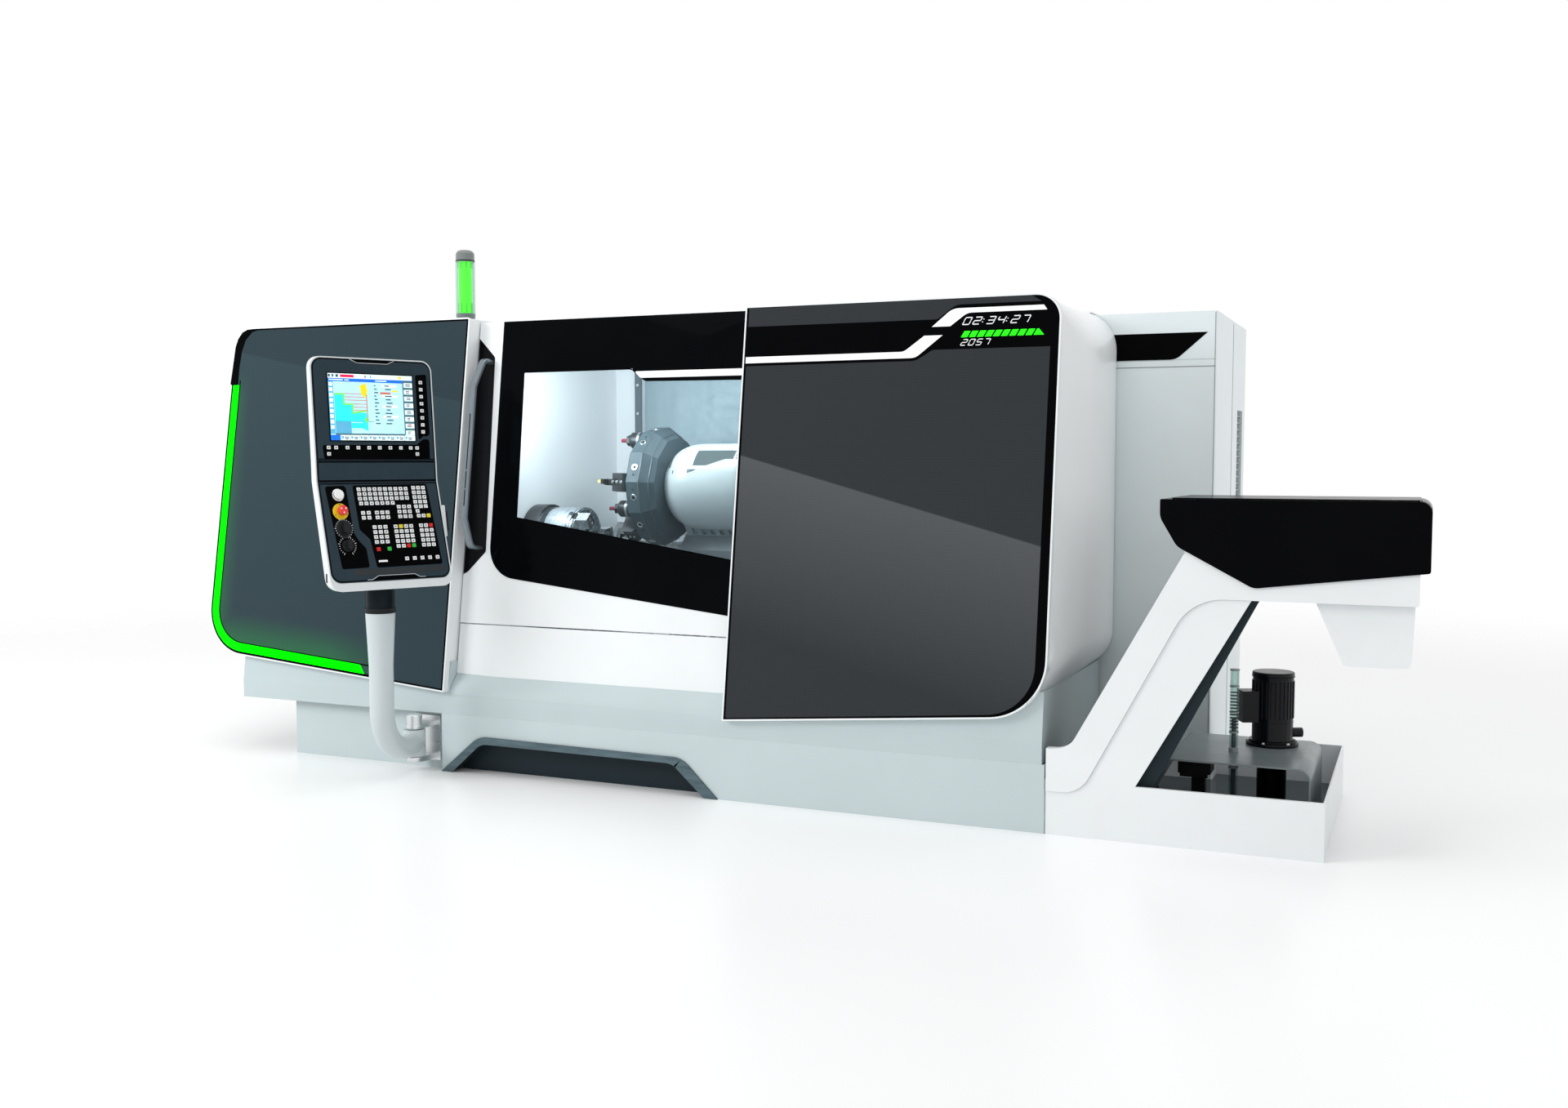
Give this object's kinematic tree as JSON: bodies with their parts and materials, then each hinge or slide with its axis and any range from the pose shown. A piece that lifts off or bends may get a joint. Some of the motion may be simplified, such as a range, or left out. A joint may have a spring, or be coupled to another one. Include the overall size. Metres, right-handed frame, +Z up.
{
  "type": "cnc turning lathe",
  "caption": "Slant-bed turning lathe: sliding door with window, turret and tailstock inside, swivelling control panel, signal lamp, chip conveyor and open coolant tank.",
  "frame": {"origin": "on the floor, at the middle of the whole machine's bounding box", "axes": "+X along the spindle towards the chip conveyor, +Y from the door to the back, +Z up"},
  "size_m": [4.8351, 2.4056, 2.1],
  "materials": {
    "white_paint": "satin",
    "grey_paint": "satin",
    "slate_cover": "gloss with a fine woven pattern",
    "silver_trim": "satin",
    "dark_recess": "satin",
    "black_gloss": "gloss",
    "black_plastic": "matte",
    "window_glass": "clear",
    "clear_tube": "clear",
    "light_strip": "lit diffuser",
    "cast_bed": "painted",
    "machined_steel": "ground",
    "lining_sheet": "dull",
    "turret_paint": "satin",
    "dark_steel": "blackened",
    "black_feet": "blackened",
    "arm_paint": "satin",
    "panel_silver": "satin",
    "panel_slate": "satin",
    "screen_glass": "lit display",
    "key_grey": "satin",
    "red_plastic": "gloss",
    "white_button": "gloss",
    "lamp_green": "lit",
    "pump_grey": "satin"
  },
  "bodies": {
    "root": {"base_plinths": "white_paint", "toe_recess_pan": "dark_recess", "toe_recess_trim": "silver_trim", "levelling_feet": "black_feet", "bed_casting": "cast_bed", "guide_rails": "machined_steel", "lower_front_cover": "white_paint", "lower_front_panel": "white_paint", "left_front_panel": "slate_cover", "led_strip": "light_strip", "right_front_panel": "slate_cover", "left_cabinet_shell": "white_paint", "work_area_lining": "lining_sheet", "roof_cover": "white_paint", "right_end_shell": "white_paint", "rear_cover": "white_paint", "door_rails": "machined_steel", "headstock": "cast_bed", "arm_bracket": "silver_trim", "signal_lamp": "lamp_green", "lamp_tube": "clear_tube", "end_cabinet": "white_paint", "electrical_cabinet": "white_paint", "cooling_unit": "dark_recess", "conveyor_front_cover": "white_paint", "conveyor_casing": "dark_recess", "conveyor_hood": "black_gloss", "discharge_chute": "white_paint", "coolant_tank": "white_paint", "tank_bridge": "white_paint", "coolant_pump": "pump_grey", "level_tube": "clear_tube"},
    "spindle": {"spindle": "dark_steel", "chuck_body": "machined_steel"},
    "jaw_1": {"chuck_jaw_1": "machined_steel"},
    "jaw_2": {"chuck_jaw_2": "machined_steel"},
    "jaw_3": {"chuck_jaw_3": "machined_steel"},
    "saddle": {"saddle": "cast_bed"},
    "cross_slide": {"cross_slide": "grey_paint", "turret_housing": "turret_paint"},
    "turret": {"turret_disc": "machined_steel", "tool_holders": "dark_steel"},
    "z_screw": {"ball_screw": "machined_steel"},
    "tailstock": {"tailstock_body": "grey_paint"},
    "quill": {"tailstock_quill": "machined_steel"},
    "door": {"door_shell": "white_paint", "door_glass": "black_gloss", "door_window": "window_glass", "door_handle": "silver_trim"},
    "arm": {"panel_arm": "arm_paint"},
    "panel": {"arm_collar": "dark_steel", "panel_housing": "panel_silver", "panel_face": "panel_slate", "panel_screen": "screen_glass", "key_caps": "key_grey"},
    "estop": {"estop_button": "red_plastic"},
    "start": {"start_button": "white_button"},
    "feed": {"feed_knob": "black_plastic"},
    "speed": {"speed_knob": "black_plastic"},
    "rear_door": {"cabinet_door": "white_paint"}
  },
  "joints": [
    {"name": "spindle_spin", "type": "hinge", "parent": "root", "child": "spindle", "pos_m": [-0.9925, 0.008, 0.91], "axis": [1, 0, 0], "continuous": true},
    {"name": "jaw_1_slide", "type": "slide", "parent": "spindle", "child": "jaw_1", "axis": [0, -0.6428, 0.766], "range_m": [0, 0.006]},
    {"name": "jaw_2_slide", "type": "slide", "parent": "spindle", "child": "jaw_2", "axis": [0, -0.342, -0.9397], "range_m": [0, 0.006]},
    {"name": "jaw_3_slide", "type": "slide", "parent": "spindle", "child": "jaw_3", "axis": [0, 0.9848, 0.1736], "range_m": [0, 0.006]},
    {"name": "saddle_slide", "type": "slide", "parent": "root", "child": "saddle", "axis": [1, 0, 0], "range_m": [0, 0.55]},
    {"name": "cross_slide", "type": "slide", "parent": "saddle", "child": "cross_slide", "axis": [0, 0.766, 0.6428], "range_m": [-0.04, 0.12]},
    {"name": "turret_index", "type": "hinge", "parent": "cross_slide", "child": "turret", "pos_m": [-0.6825, 0.26846, 1.12855], "axis": [1, 0, 0], "continuous": true},
    {"name": "z_screw_spin", "type": "hinge", "parent": "root", "child": "z_screw", "pos_m": [-0.1425, 0.40236, 0.72005], "axis": [1, 0, 0], "continuous": true},
    {"name": "tailstock_slide", "type": "slide", "parent": "root", "child": "tailstock", "axis": [-1, 0, 0], "range_m": [0, 0.45]},
    {"name": "quill_slide", "type": "slide", "parent": "tailstock", "child": "quill", "axis": [-1, 0, 0], "range_m": [0, 0.12]},
    {"name": "door_slide", "type": "slide", "parent": "root", "child": "door", "axis": [1, 0, 0], "range_m": [0, 1]},
    {"name": "arm_swivel", "type": "hinge", "parent": "root", "child": "arm", "pos_m": [-1.2925, -0.687, 0.112], "axis": [0, 0, 1], "range_deg": [-60, 10]},
    {"name": "panel_swivel", "type": "hinge", "parent": "arm", "child": "panel", "pos_m": [-1.2425, -0.942, 0.664], "axis": [0, 0, 1], "range_deg": [-45, 45]},
    {"name": "estop_press", "type": "slide", "parent": "panel", "child": "estop", "axis": [-0.8779, 0.3909, -0.2766], "range_m": [0, 0.005], "stiffness_N_per_m": 900},
    {"name": "start_press", "type": "slide", "parent": "panel", "child": "start", "axis": [-0.8779, 0.3909, -0.2766], "range_m": [0, 0.004], "stiffness_N_per_m": 600},
    {"name": "feed_turn", "type": "hinge", "parent": "panel", "child": "feed", "pos_m": [-1.26877, -1.10764, 0.99], "axis": [0.8779, -0.3909, 0.2766], "range_deg": [-150, 150]},
    {"name": "speed_turn", "type": "hinge", "parent": "panel", "child": "speed", "pos_m": [-1.25017, -1.11044, 0.927], "axis": [0.8779, -0.3909, 0.2766], "range_deg": [-150, 150]},
    {"name": "rear_door_swing", "type": "hinge", "parent": "root", "child": "rear_door", "pos_m": [0.7275, 1.199, 0.9], "axis": [0, 0, 1], "range_deg": [0, 110]}
  ],
  "couplings": [
    {"joint": "jaw_2_slide", "follows": "jaw_1_slide", "ratio": 1},
    {"joint": "jaw_3_slide", "follows": "jaw_1_slide", "ratio": 1},
    {"joint": "z_screw_spin", "follows": "saddle_slide", "rad_per_m": 314.16}
  ]
}
